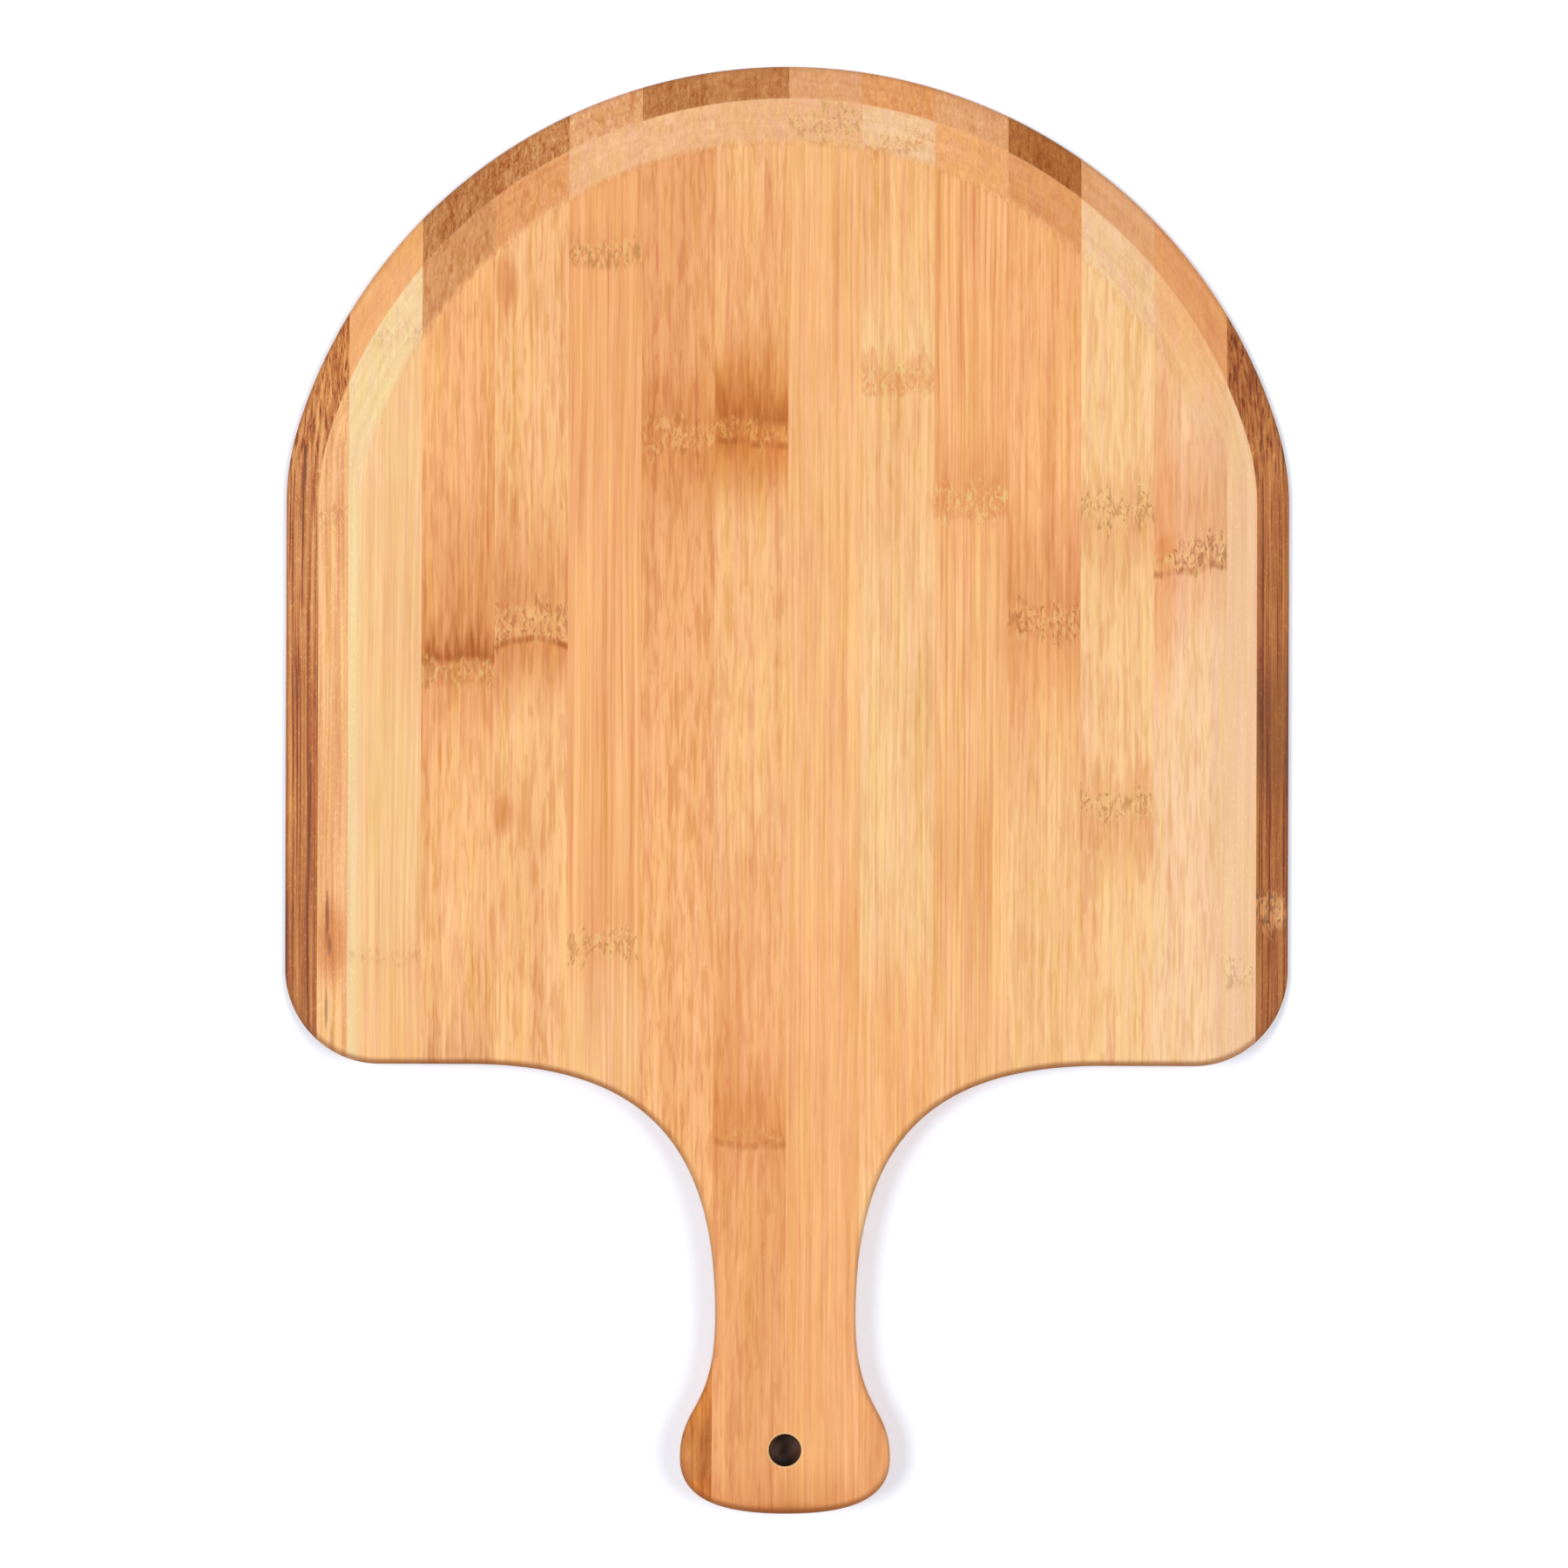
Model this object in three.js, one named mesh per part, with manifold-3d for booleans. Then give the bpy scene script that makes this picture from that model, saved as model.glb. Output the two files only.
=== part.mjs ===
// A bamboo pizza peel: a flat board with a round bevelled front and a handle with a hanging hole.
// It is glued up from two layers of flat bamboo strips laid edge to edge, and the glued blank is
// then cut to its outline. Each strip is a solid of its own, glued face to face to its neighbours.
// Millimetres. +Y points to the round front, the handle points to -Y and +Z is up. The origin is on
// the underside, at the middle of the board's length and width.

import * as THREE from 'three';
import { mergeVertices } from 'three/addons/utils/BufferGeometryUtils.js';
import Module from 'manifold-3d';

// Plan of the blade
const bladeWidth = 300;
const bladeLength = 298.5; // from the tip of the round front to the shoulders
const frontSpread = 3.4; // the front's radius is this much more than half the blade's width
const sideBlendRadius = 80; // eases the round front into the straight sides
const cornerRadius = 28.5; // the two back corners
const shoulderFlat = 27; // straight stretch from a back corner to the sweep into the handle

// Plan of the handle, from front to back
const waistDistance = 75; // from the shoulders to the narrowest place
const knobDistance = 42.4; // from there to the widest place of the knob
const endDistance = 16.6; // from there to the end of the handle
const waistWidth = 42;
const knobWidth = 62.8;

// How far each handle curve runs on in its end's direction, as a share of its own span
const sweepShoulderPull = 0.756;
const sweepWaistPull = 0.636;
const flareWaistPull = 0.676;
const flareKnobPull = 0.377;
const endKnobPull = 0.855;
const endTipPull = 0.487;

// Section through the board
const layerThickness = 5.5; // one layer of strips, and there are two
const lipThickness = 1.8; // what the bevel leaves at the rim of the front and sides
const bevelRun = 23.9; // width of the bevel, seen from above
const edgeRadius = 1.2; // rounds the top and bottom edges of the outline

// Hanging hole, on the middle line of the handle
const holeDiameter = 9.4;
const holeInset = 19; // from the end of the handle to the hole's centre
const holeEase = 0.6; // countersink of its rims

// Strips of one layer, counted from left to right, with a joint on the middle line
const stripCount = 14; // an even number
const blankTrim = 3.125; // cut off each side of the glued blank

// How finely round stretches are divided, and how far a cutting shape reaches past the board
const facetLength = 4;
const edgeFacets = 2;
const holeFacets = 32;
const cutMargin = 2;
const samePoint = 1e-6; // two points closer than this are one

// Finish and tones of the bamboo, from raw to toasted
const satinRoughness = 0.55;
const tones = {
  straw: '#f3c28b',
  peach: '#f2b783',
  honey: '#efae76',
  amber: '#e79f64',
  toasted: '#ac6d3b',
};
const stripTones = {
  top: ['peach', 'straw', 'amber', 'honey', 'peach', 'amber', 'honey',
    'honey', 'straw', 'peach', 'amber', 'straw', 'peach', 'straw'],
  bottom: ['toasted', 'peach', 'toasted', 'toasted', 'honey', 'toasted', 'toasted',
    'honey', 'amber', 'peach', 'toasted', 'honey', 'amber', 'toasted'],
};

// Places that follow from the sizes
const boardThickness = 2 * layerThickness;
const boardLength = bladeLength + waistDistance + knobDistance + endDistance;
const tipY = boardLength / 2;
const shoulderY = tipY - bladeLength;
const waistY = shoulderY - waistDistance;
const knobY = waistY - knobDistance;
const endY = knobY - endDistance;
const sideX = bladeWidth / 2;
const waistX = waistWidth / 2;
const knobX = knobWidth / 2;
const cornerX = sideX - cornerRadius;
const cornerY = shoulderY + cornerRadius;
const sweepX = cornerX - shoulderFlat;
const stripWidth = (bladeWidth + 2 * blankTrim) / stripCount;

// The blend touches the side line and, from inside, the circle of the round front
const frontRadius = sideX + frontSpread;
const frontY = tipY - frontRadius;
const blendX = sideX - sideBlendRadius;
const blendRise = Math.sqrt((frontRadius - sideBlendRadius) ** 2 - blendX ** 2);
const blendAngle = Math.atan2(blendRise, blendX);

const wasm = await Module();
wasm.setup();

// A closed three.js geometry as a solid that can be cut
function solidOf(geometry) {
  geometry.deleteAttribute('normal');
  geometry.deleteAttribute('uv');
  const merged = mergeVertices(geometry);
  return new wasm.Manifold(new wasm.Mesh({
    numProp: 3,
    vertProperties: merged.attributes.position.array,
    triVerts: Uint32Array.from(merged.index.array),
  }));
}

// A cut solid as a three.js geometry
function geometryOf(solid) {
  const mesh = solid.getMesh();
  const geometry = new THREE.BufferGeometry();
  geometry.setAttribute('position', new THREE.BufferAttribute(mesh.vertProperties, 3));
  geometry.setIndex(new THREE.BufferAttribute(mesh.triVerts, 1));
  geometry.computeVertexNormals();
  return geometry;
}

// Points along a curve, a facet apart
function facets(curve) {
  return curve.getPoints(Math.ceil(curve.getLength() / facetLength));
}

function arc(x, y, radius, fromAngle, toAngle) {
  return facets(new THREE.EllipseCurve(x, y, radius, radius, fromAngle, toAngle));
}

function bezier(...points) {
  return facets(new THREE.CubicBezierCurve(...points.map(([x, y]) => new THREE.Vector2(x, y))));
}

// Right side, round front and left side of the blade, moved outwards by grow
function bladeFront(grow) {
  return [
    ...arc(blendX, frontY + blendRise, sideBlendRadius + grow, 0, blendAngle),
    ...arc(0, frontY, frontRadius + grow, blendAngle, Math.PI - blendAngle),
    ...arc(-blendX, frontY + blendRise, sideBlendRadius + grow, Math.PI - blendAngle, Math.PI),
  ];
}

// Left half of the handle's plan: the sweep to the waist, the flare to the knob and the round end
function handleLeft() {
  const sweepSpan = sweepX - waistX;
  return [
    ...bezier(
      [-sweepX, shoulderY],
      [-sweepX + sweepShoulderPull * sweepSpan, shoulderY],
      [-waistX, waistY + sweepWaistPull * waistDistance],
      [-waistX, waistY],
    ),
    ...bezier(
      [-waistX, waistY],
      [-waistX, waistY - flareWaistPull * knobDistance],
      [-knobX, knobY + flareKnobPull * knobDistance],
      [-knobX, knobY],
    ),
    ...bezier(
      [-knobX, knobY],
      [-knobX, knobY - endKnobPull * endDistance],
      [-endTipPull * knobX, endY],
      [0, endY],
    ),
  ];
}

// A closed plan from its points, with each meeting point of two stretches kept once
function planOf(points) {
  const nextOf = (i) => points[(i + 1) % points.length];
  return new THREE.Shape(points.filter((point, i) => point.distanceTo(nextOf(i)) > samePoint));
}

// Whole outline, counter-clockwise
function boardPlan() {
  const left = handleLeft();
  const right = left.map((point) => new THREE.Vector2(-point.x, point.y)).reverse();
  return planOf([
    ...bladeFront(0),
    ...arc(-cornerX, cornerY, cornerRadius, Math.PI, 1.5 * Math.PI),
    ...left,
    ...right,
    ...arc(cornerX, cornerY, cornerRadius, 1.5 * Math.PI, 2 * Math.PI),
  ]);
}

// Flat blank with its top and bottom edges rounded
function blankSolid() {
  const geometry = new THREE.ExtrudeGeometry(boardPlan(), {
    depth: boardThickness - 2 * edgeRadius,
    bevelThickness: edgeRadius,
    bevelSize: edgeRadius,
    bevelOffset: -edgeRadius,
    bevelSegments: edgeFacets,
  });
  return solidOf(geometry.translate(0, 0, edgeRadius));
}

// What the bevel leaves of the board: a block that narrows upwards round the front and sides.
// Its slope passes through the rim's lip and through the top face, a bevel's width further in.
function bevelEnvelope() {
  const slope = (boardThickness - lipThickness) / bevelRun;
  const run = bevelRun + 2 * cutMargin;
  const backY = endY - run;
  const plan = planOf([
    ...bladeFront(cutMargin),
    new THREE.Vector2(-sideX - cutMargin, backY),
    new THREE.Vector2(sideX + cutMargin, backY),
  ]);
  const geometry = new THREE.ExtrudeGeometry(plan, {
    depth: boardThickness,
    bevelThickness: run * slope,
    bevelSize: run,
    bevelOffset: -run,
    bevelSegments: 1,
  });
  const lipZ = lipThickness - cutMargin * slope;
  return solidOf(geometry.translate(0, 0, lipZ - boardThickness));
}

// Bore of the hanging hole with a countersink at each face
function hangingHole() {
  const radius = holeDiameter / 2;
  const flare = holeEase + cutMargin;
  const bore = new THREE.CylinderGeometry(radius, radius, boardThickness + 2 * cutMargin, holeFacets);
  const topSink = new THREE.CylinderGeometry(radius + flare, radius, flare, holeFacets);
  const bottomSink = new THREE.CylinderGeometry(radius, radius + flare, flare, holeFacets);
  const sinkHeight = boardThickness / 2 + (cutMargin - holeEase) / 2;
  topSink.translate(0, sinkHeight, 0);
  bottomSink.translate(0, -sinkHeight, 0);
  const place = (geometry) => solidOf(
    geometry.rotateX(Math.PI / 2).translate(0, endY + holeInset, boardThickness / 2),
  );
  return place(bore).add(place(topSink)).add(place(bottomSink));
}

// Straight block of bamboo from one corner to the opposite one
function block([leftX, backY, lowZ], [rightX, frontY, highZ]) {
  const plan = new THREE.Shape([
    new THREE.Vector2(leftX, backY),
    new THREE.Vector2(rightX, backY),
    new THREE.Vector2(rightX, frontY),
    new THREE.Vector2(leftX, frontY),
  ]);
  const geometry = new THREE.ExtrudeGeometry(plan, { depth: highZ - lowZ, bevelEnabled: false });
  return solidOf(geometry.translate(0, 0, lowZ));
}

function bambooMesh(name, solid, tone) {
  const material = new THREE.MeshStandardMaterial({
    color: tones[tone],
    roughness: satinRoughness,
    metalness: 0,
    flatShading: true,
  });
  const mesh = new THREE.Mesh(geometryOf(solid), material);
  mesh.name = name;
  return mesh;
}

// The strips of one layer. The middle pair runs to the end of the handle. Cutting the waist parts the
// strips beside that pair, and what is left of each on the knob is a cheek with the strip's number.
function addLayer(peel, board, layer, lowZ, highZ) {
  const frontY = tipY + cutMargin;
  const backY = endY - cutMargin;
  for (let i = 0; i < stripCount; i += 1) {
    const leftX = (i - stripCount / 2) * stripWidth;
    const rightX = (i + 1 - stripCount / 2) * stripWidth;
    const innerX = Math.min(Math.abs(leftX), Math.abs(rightX));
    const number = String(i + 1).padStart(2, '0');
    const tone = stripTones[layer][i % stripTones[layer].length];
    const addPiece = (kind, fromY, toY) => {
      const solid = board.intersect(block([leftX, fromY, lowZ], [rightX, toY, highZ]));
      peel.add(bambooMesh(`${layer}_${kind}_${number}`, solid, tone));
    };
    addPiece('strip', innerX === 0 ? backY : waistY, frontY);
    if (innerX > 0 && innerX < knobX) addPiece('knob_cheek', backY, waistY);
  }
}

const peel = new THREE.Group();
peel.name = 'pizza_peel';
const board = blankSolid().intersect(bevelEnvelope()).subtract(hangingHole());
addLayer(peel, board, 'bottom', -cutMargin, layerThickness);
addLayer(peel, board, 'top', layerThickness, boardThickness + cutMargin);

export default peel;
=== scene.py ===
import math
import bpy
import numpy as np
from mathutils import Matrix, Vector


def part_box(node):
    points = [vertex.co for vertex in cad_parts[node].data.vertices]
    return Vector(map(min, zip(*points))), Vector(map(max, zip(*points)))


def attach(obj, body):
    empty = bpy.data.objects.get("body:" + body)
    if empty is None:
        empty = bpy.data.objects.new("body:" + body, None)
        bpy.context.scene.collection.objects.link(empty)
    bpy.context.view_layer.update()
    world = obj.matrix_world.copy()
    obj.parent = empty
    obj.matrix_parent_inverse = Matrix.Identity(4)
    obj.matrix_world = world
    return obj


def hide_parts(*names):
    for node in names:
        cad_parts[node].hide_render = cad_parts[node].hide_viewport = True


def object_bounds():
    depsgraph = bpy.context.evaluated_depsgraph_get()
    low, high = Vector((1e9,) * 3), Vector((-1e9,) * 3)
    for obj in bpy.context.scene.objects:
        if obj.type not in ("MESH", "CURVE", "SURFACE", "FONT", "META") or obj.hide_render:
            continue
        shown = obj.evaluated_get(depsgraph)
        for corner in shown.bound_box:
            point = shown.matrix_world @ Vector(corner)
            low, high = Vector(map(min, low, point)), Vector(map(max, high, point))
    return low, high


# Bamboo pizza peel: two glued layers of strips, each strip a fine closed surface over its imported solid.
# +Y points to the round front, the handle points to -Y and +Z is up.

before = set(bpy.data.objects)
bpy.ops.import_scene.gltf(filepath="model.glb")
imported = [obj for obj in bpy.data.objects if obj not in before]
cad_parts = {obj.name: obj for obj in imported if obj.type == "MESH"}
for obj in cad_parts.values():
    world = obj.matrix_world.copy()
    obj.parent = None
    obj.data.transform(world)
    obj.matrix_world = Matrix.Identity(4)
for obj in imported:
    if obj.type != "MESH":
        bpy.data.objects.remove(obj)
cadLow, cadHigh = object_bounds()
print("frame:", len(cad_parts), "solids")

mm = 0.001  # the shapes below are worked out in millimetres

board = {  # overall sizes, read from the frame
    "sideX": cadHigh.x / mm,
    "tipY": cadHigh.y / mm,
    "endY": cadLow.y / mm,
    "thick": cadHigh.z / mm,
    "glueZ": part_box("bottom_strip_07")[1].z / mm,  # where the two layers meet
    "stripWidth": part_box("top_strip_08")[1].x / mm,
    "knobX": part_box("top_knob_cheek_09")[1].x / mm,
}
sideX, tipY, endY = board["sideX"], board["tipY"], board["endY"]
thick, glueZ = board["thick"], board["glueZ"]
stripWidth, knobX = board["stripWidth"], board["knobX"]

outline = {  # plan of the blade and the handle
    "frontSpread": 3.4,  # the front's radius beyond half the width
    "blendRadius": 80.0,  # eases the front into the straight sides
    "cornerRadius": 28.5,
    "shoulderFlat": 27.0,
    "bladeLength": 298.5,
    "waistDistance": 75.0,
    "knobDistance": 42.4,
    "waistWidth": 42.0,
    "sweepPulls": (0.756, 0.636),  # how far a curve runs on at its ends, as shares of its span
    "flarePulls": (0.676, 0.377),
    "endPulls": (0.855, 0.487),
    "curvePoints": 600,  # on each arc and curve
    "samePoint": 1e-9,  # where one stretch ends and the next one starts
    "sampleStep": 1.0,  # between the samples that distances are taken from
}
section = {  # cut through the board
    "lip": 1.8,
    "bevelRun": 23.9,
    "creaseEase": 0.22,  # sanding of the bevel's upper edge, as a height
    "edgeRadius": 1.2,
    "lipEase": 0.3,
    "featherEdge": 0.03,  # what is left of the upper layer at the glue line
}
hole = {"radius": 4.7, "inset": 19.0, "ease": 0.7}

# places that follow from the sizes
domeRadius = sideX + outline["frontSpread"]
domeY = tipY - domeRadius
blendRadius = outline["blendRadius"]
blendX = sideX - blendRadius
blendRise = math.sqrt((domeRadius - blendRadius) ** 2 - blendX ** 2)
blendY = domeY + blendRise
blendAngle = math.atan2(blendRise, blendX)
cornerRadius = outline["cornerRadius"]
shoulderY = tipY - outline["bladeLength"]
cornerX, cornerY = sideX - cornerRadius, shoulderY + cornerRadius
sweepX = cornerX - outline["shoulderFlat"]
waistX, waistY = outline["waistWidth"] / 2, shoulderY - outline["waistDistance"]
knobY = waistY - outline["knobDistance"]
holeY = endY + hole["inset"]
bevelSlope = (thick - section["lip"]) / section["bevelRun"]
glueInset = (glueZ - section["lip"]) / bevelSlope
featherInset = glueInset + section["featherEdge"] / bevelSlope


def arcPoints(x, y, radius, fromAngle, toAngle):
    # circle: centre plus radius times the cosine and sine of the angle
    angle = np.linspace(fromAngle, toAngle, outline["curvePoints"])
    return np.stack([x + radius * np.cos(angle), y + radius * np.sin(angle)], -1)


def bezierPoints(*points):
    # cubic curve: the four points weighted by their Bernstein terms
    t = np.linspace(0, 1, outline["curvePoints"])[:, None]
    a, b, c, d = (np.array(point) for point in points)
    return (1 - t) ** 3 * a + 3 * (1 - t) ** 2 * t * b + 3 * (1 - t) * t ** 2 * c + t ** 3 * d


def handleCurves():
    # right edge of the handle: sweep to the waist, flare to the knob, round end
    sweepSpan, sweepDrop = sweepX - waistX, shoulderY - waistY
    flareDrop, endDrop = waistY - knobY, knobY - endY
    sweepA, sweepB = outline["sweepPulls"]
    flareA, flareB = outline["flarePulls"]
    endA, endB = outline["endPulls"]
    sweep = bezierPoints((sweepX, shoulderY), (sweepX - sweepA * sweepSpan, shoulderY),
                         (waistX, waistY + sweepB * sweepDrop), (waistX, waistY))
    flare = bezierPoints((waistX, waistY), (waistX, waistY - flareA * flareDrop),
                         (knobX, knobY + flareB * flareDrop), (knobX, knobY))
    end = bezierPoints((knobX, knobY), (knobX, knobY - endA * endDrop),
                       (endB * knobX, endY), (0, endY))
    return sweep, flare, end


sweepCurve, flareCurve, endCurve = handleCurves()
handleCurve = np.concatenate([sweepCurve, flareCurve, endCurve])[::-1]  # from the end up


def halfWidth(y):
    # x of the handle's right edge, read off its curve by y
    return np.interp(y, handleCurve[:, 1], handleCurve[:, 0])


def endAt(x):
    # y of the handle's round end, read off its curve by x
    return np.interp(np.abs(x), endCurve[::-1, 0], endCurve[::-1, 1])


def backAt(x):
    # y of the blade's back edge: the sweep's curve, then the shoulder line, then the corner's circle
    ax = np.abs(x)
    corner = cornerY - np.sqrt(np.clip(cornerRadius ** 2 - np.clip(ax - cornerX, 0, None) ** 2, 0, None))
    return np.where(ax < sweepX, np.interp(ax, sweepCurve[::-1, 0], sweepCurve[::-1, 1]), corner)


def frontAt(x, inset):
    # y of the round front moved in by inset: the smaller dome circle, and the blend's circle beside it
    ax = np.abs(x)
    dome = domeY + np.sqrt(np.clip((domeRadius - inset) ** 2 - ax ** 2, 0, None))
    blend = blendY + np.sqrt(np.clip((blendRadius - inset) ** 2 - (ax - blendX) ** 2, 0, None))
    return np.where(ax <= (domeRadius - inset) * math.cos(blendAngle), dome, blend)


def sideAt(y, inset):
    # x of the same edge by y: side line, blend's circle, dome circle
    blend = blendX + np.sqrt(np.clip((blendRadius - inset) ** 2 - (y - blendY) ** 2, 0, None))
    dome = np.sqrt(np.clip((domeRadius - inset) ** 2 - (y - domeY) ** 2, 0, None))
    turn = domeY + (domeRadius - inset) * math.sin(blendAngle)
    return np.where(y <= blendY, sideX - inset, np.where(y <= turn, blend, dome))


def cornerAt(y):
    # x of the back corner's circle by y, and the side line above it
    return cornerX + np.sqrt(np.clip(cornerRadius ** 2 - np.clip(cornerY - y, 0, None) ** 2, 0, None))


def outlineSamples():
    # the right half of the outline cut into even steps, with the normal that points inwards
    points = np.concatenate([
        arcPoints(0, domeY, domeRadius, math.pi / 2, blendAngle),
        arcPoints(blendX, blendY, blendRadius, blendAngle, 0),
        np.array([(sideX, blendY), (sideX, cornerY)]),
        arcPoints(cornerX, cornerY, cornerRadius, 0, -math.pi / 2),
        handleCurve[::-1],
    ])
    run = np.concatenate([[0], np.cumsum(np.hypot(*np.diff(points, axis=0).T))])
    keep = np.concatenate([[True], np.diff(run) > outline["samePoint"]])
    steps = np.linspace(0, run[-1], int(run[-1] / outline["sampleStep"]))
    x, y = np.interp(steps, run[keep], points[keep, 0]), np.interp(steps, run[keep], points[keep, 1])
    tangentX, tangentY = np.gradient(x), np.gradient(y)
    length = np.hypot(tangentX, tangentY)
    return np.stack([x, y, tangentY / length, -tangentX / length]).astype(np.float32)


edgeX, edgeY, inwardX, inwardY = outlineSamples()


def rimDistance(x, y):
    # distance to the outline: from the nearest sample, measured along its inward normal
    # and how squarely the outline faces back there
    px, py = np.abs(x).ravel().astype(np.float32), y.ravel().astype(np.float32)
    chunk = grids["nearChunk"]
    rim, heel = [], []
    for start in range(0, px.size, chunk):
        dx = px[start:start + chunk, None] - edgeX
        dy = py[start:start + chunk, None] - edgeY
        near = np.argmin(dx * dx + dy * dy, axis=1)
        row = np.arange(near.size)
        rim.append(dx[row, near] * inwardX[near] + dy[row, near] * inwardY[near])
        heel.append(inwardY[near])
    whole = (np.concatenate(part).reshape(x.shape).astype(float) for part in (rim, heel))
    return tuple(np.clip(part, 0, None) for part in whole)


def bevelDistance(x, y):
    # distance in from the front and sides: to the dome circle, to the blend's circle or to the side line
    ax = np.abs(x)
    toDome = domeRadius - np.hypot(ax, y - domeY)
    toBlend = blendRadius - np.hypot(ax - blendX, y - blendY)
    angle = np.arctan2(y - domeY, ax)
    return np.where(angle >= blendAngle, toDome, np.where(y >= blendY, toBlend, sideX - ax))


def quarterRound(distance, radius):
    # how far a rounded edge has dropped: radius minus the height of its quarter circle at this distance
    inner = radius - np.clip(distance, 0, radius)
    return radius - np.sqrt(radius ** 2 - inner ** 2)


def topHeight(x, y, rim):
    # the lower of face and bevel plane, eased where they cross, less the rounded edges
    bevel = section["lip"] + bevelSlope * bevelDistance(x, y)
    ease = section["creaseEase"]
    crossing = np.clip(ease - np.abs(bevel - thick), 0, None) ** 2 / (4 * ease)
    height = np.minimum(bevel, thick) - crossing
    radius = section["edgeRadius"]
    height = np.minimum(height, thick - quarterRound(rim, radius))
    thinEdge = np.clip(thick - radius - bevel, 0, 1)  # 1 along the front and the sides
    height = height - thinEdge * quarterRound(rim, section["lipEase"])
    return height - quarterRound(np.hypot(x, y - holeY) - hole["radius"], hole["ease"])


def bottomHeight(x, y, rim):
    # flat underside, lifted by the rounded edges
    lift = quarterRound(np.hypot(x, y - holeY) - hole["radius"], hole["ease"])
    return np.maximum(quarterRound(rim, section["edgeRadius"]), lift)


# The plan of each strip is a grid: rows run from the back to the front, columns from the middle outwards.

grids = {
    "columns": 31,
    "fineColumns": 45,
    "rowStep": 2.5,
    "edgeTurns": 8,  # rows round an edge
    "tipWidth": 0.02,  # blunt end of a strip that runs out to a point
    "lensPoints": 9000,  # points that a curved edge is read off at
    "lensStep": 1.5,
    "bevelDrop": 52.0,  # stretch of the second strip that the bevel's crease runs through
    "bevelStep": 0.65,
    "knobStep": 1.2,
    "holeTurns": 41,  # rows along the hole's wall
    "holeRows": (1.6, 0.9, 0.5, 0.25, 0.1),  # rows this far from the hole
    "sharpAngle": 40.0,  # degrees between faces that keep a sharp edge
    "nearChunk": 4000,  # points looked up at a time
}
roundSteps = section["edgeRadius"] * (1 - np.cos(np.linspace(0, math.pi / 2, grids["edgeTurns"] + 1)))
edgeSteps = np.concatenate([roundSteps, [1.6, 2.4, 4.0]])
creaseSteps = np.array([0.3, 0.7, 1.5, 3.0, 6.0])
creaseInsets = section["bevelRun"] + np.concatenate([creaseSteps[::-1], [0.0], -creaseSteps, [-9.0]])
topInsets = np.concatenate([creaseInsets, [featherInset + 2.2, featherInset + 0.8, featherInset]])
bandInsets = [24.0, 16.0, 12.0, 10.2, glueInset, 9.0, 7.5, 5.5, 3.5, 2.0]  # across the lower layer's bevel
bottomInsets = np.concatenate([bandInsets, roundSteps[::-1]])


def slantOf(curve, x):
    # how much longer a step square to the curve is when it is taken along y
    reach = 0.01
    slope = (curve(x + reach) - curve(x - reach)) / (2 * reach)
    return np.sqrt(1 + slope ** 2)


def rowsBetween(back, front, step):
    # straight shares of the way from the last back row to the first front row
    count = max(2, int(np.max(front[0] - back[-1]) / step))
    share = np.linspace(0, 1, count + 1)[1:-1, None]
    return np.concatenate([back, back[-1] + share * (front[0] - back[-1]), front])


def bladeGrid(fromX, toX, insets, bunch):
    # columns of constant x; rows follow the back edge, then the front edge at each inset
    share = np.linspace(0, 1, grids["columns"])
    share = 1 - np.cos(share * math.pi / 2) if bunch else share
    x = fromX + share * (toX - fromX)
    back = backAt(x) + edgeSteps[:, None] * slantOf(backAt, x)
    front = np.array([frontAt(x, inset) for inset in insets])
    y = rowsBetween(back, front, grids["rowStep"])
    return np.broadcast_to(x, y.shape), y


def shoulderGrid(fromX, toX, inset):
    # the same for the strip where the crease turns down the side: close rows, and a column on the crease
    creaseX = sideX - section["bevelRun"]
    inner = np.linspace(fromX, creaseX, grids["fineColumns"] * 2 // 3)
    x = np.concatenate([inner, np.linspace(creaseX, toX, grids["fineColumns"] // 3)[1:]])
    back = backAt(x) + edgeSteps[:, None] * slantOf(backAt, x)
    drops = np.arange(grids["bevelDrop"], 0, -grids["bevelStep"])
    front = frontAt(x, inset) - np.concatenate([drops, [0.2, 0.0]])[:, None]
    y = rowsBetween(back, front, grids["rowStep"])
    return np.broadcast_to(x, y.shape), y


def lensGrid(jointX, reach, lowY, highY):
    # level rows from a joint out to a curved edge, even along the edge and close together beside it
    y = np.linspace(lowY, highY, grids["lensPoints"])
    outer = reach(y)
    wide = outer > jointX + grids["tipWidth"]
    y, outer = y[wide], outer[wide]
    run = np.concatenate([[0], np.cumsum(np.hypot(np.diff(y), np.diff(outer)))])
    rows = np.linspace(0, run[-1], int(run[-1] / grids["lensStep"]))
    share = 1 - np.linspace(1, 0, grids["fineColumns"]) ** 2
    x = jointX + share * (np.interp(rows, run, outer)[:, None] - jointX)
    return x, np.broadcast_to(np.interp(rows, run, y)[:, None], x.shape)


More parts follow.
